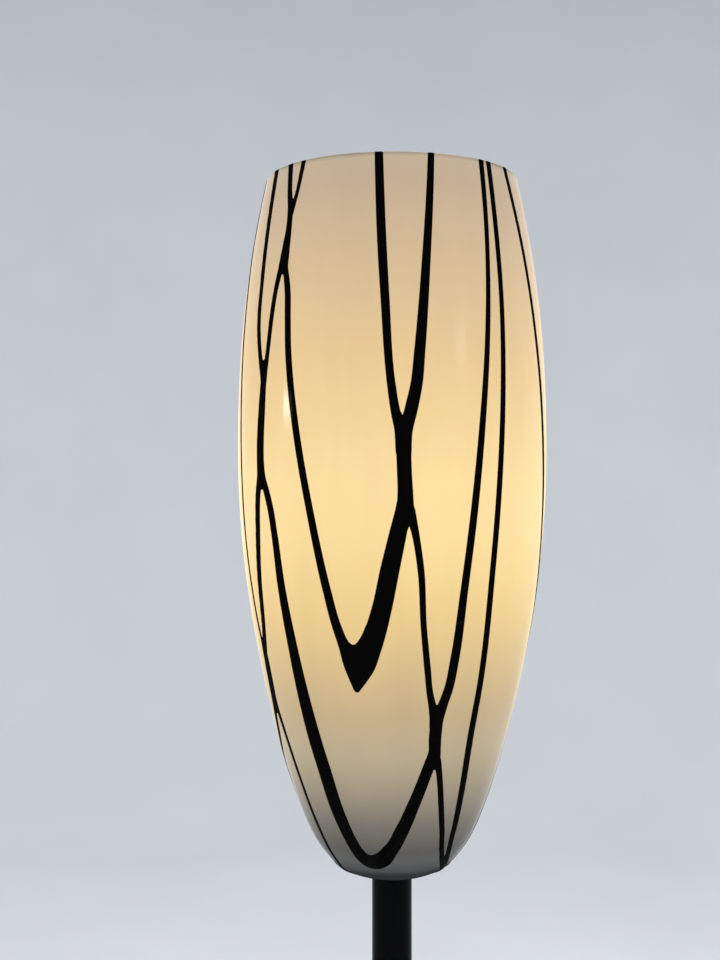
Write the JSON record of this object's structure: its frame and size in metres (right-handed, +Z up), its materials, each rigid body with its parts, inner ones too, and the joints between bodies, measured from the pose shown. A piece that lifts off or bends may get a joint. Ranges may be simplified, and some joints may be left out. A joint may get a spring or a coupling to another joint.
{
  "type": "torchiere floor lamp",
  "caption": "Tall open-topped ovoid opal glass shade with black glass threads, on a slim tubular pole and a round weighted foot.",
  "frame": {"origin": "centre of the foot's underside on the floor, which is the bounding box's bottom centre", "axes": "+Z up the pole, -Y the lamp's front with the foot switch, +Y the back with the cord inlet, +X to the right seen from the front"},
  "size_m": [0.28, 0.28, 1.7414],
  "materials": {
    "black_metal": "satin black powder coat",
    "zinc_steel": "bright zinc plate",
    "spring_steel": "polished spring wire",
    "cast_iron": "rough grey casting",
    "black_rubber": "matt rubber",
    "clear_washer": "translucent silicone rubber",
    "black_plastic": "fine-textured thermoset",
    "white_plastic": "moulded nylon",
    "brass": "turned and rolled brass",
    "lead_insulation": "smooth insulation",
    "flex_sheath": "smooth sheath",
    "ceramic": null,
    "opal_glass": "glossy opal glass, lit warm from within, with drawn black glass threads",
    "bulb_glass": "inside-frosted glass",
    "bulb_cap": "bright rolled aluminium",
    "bulb_insulator": "black vitrified glass",
    "bulb_tip": "soldered contact",
    "bulb_stem": "clear glass",
    "filament": "phosphor-coated filament"
  },
  "bodies": {
    "stand": {"base_cover": "black_metal", "foot_collar": "black_metal", "pole_lower": "black_metal", "pole_middle": "black_metal", "pole_upper": "black_metal", "top_plug": "black_metal", "bottom_plate": "zinc_steel", "plate_screws": "zinc_steel", "base_stud": "zinc_steel", "base_washer": "zinc_steel", "base_nut": "zinc_steel", "foot_plug": "zinc_steel", "coupler_lower": "zinc_steel", "coupler_upper": "zinc_steel", "clamp_disc": "zinc_steel", "clamp_nut": "zinc_steel", "shade_nipple": "zinc_steel", "riser_tube": "zinc_steel", "holder_nipple": "zinc_steel", "earth_lug": "zinc_steel", "switch_spring": "spring_steel", "contact_spring": "spring_steel", "base_weight": "cast_iron", "base_pad": "black_rubber", "cord_grommet": "black_rubber", "seat_washer": "black_rubber", "clamp_washer": "clear_washer", "switch_body": "black_plastic", "switch_ring": "black_plastic", "holder_cap": "black_plastic", "holder_body": "black_plastic", "terminal_block": "white_plastic", "terminal_screws": "brass", "earth_screw": "brass", "switch_terminals": "brass", "holder_terminal_screws": "brass", "screw_shell": "brass", "switch_leads": "lead_insulation", "pole_flex": "flex_sheath", "holder_core": "ceramic", "glass_shade": "opal_glass"},
    "button": {"switch_button": "black_plastic"},
    "contact": {"contact_pin": "brass"},
    "bulb": {"bulb_glass": "bulb_glass", "bulb_cap": "bulb_cap", "bulb_insulator": "bulb_insulator", "bulb_tip": "bulb_tip", "bulb_stem": "bulb_stem", "bulb_filaments": "filament"}
  },
  "joints": [
    {"name": "switch_press", "type": "slide", "parent": "stand", "child": "button", "axis": [0, 0, -1], "range_m": [0, 0.0035], "stiffness_N_per_m": 400, "springref_m": -0.003, "deforming": ["switch_spring"]},
    {"name": "contact_follow", "type": "slide", "parent": "stand", "child": "contact", "axis": [0, 0, 1], "range_m": [0, 0.002], "deforming": ["contact_spring"]},
    {"name": "bulb_turn", "type": "hinge", "parent": "contact", "child": "bulb", "pos_m": [0, 0, 1.434], "axis": [0, 0, 1], "range_deg": [0, 198]}
  ],
  "couplings": [
    {"joint": "contact_follow", "follows": "bulb_turn", "m_per_rad": 0.00057773}
  ]
}
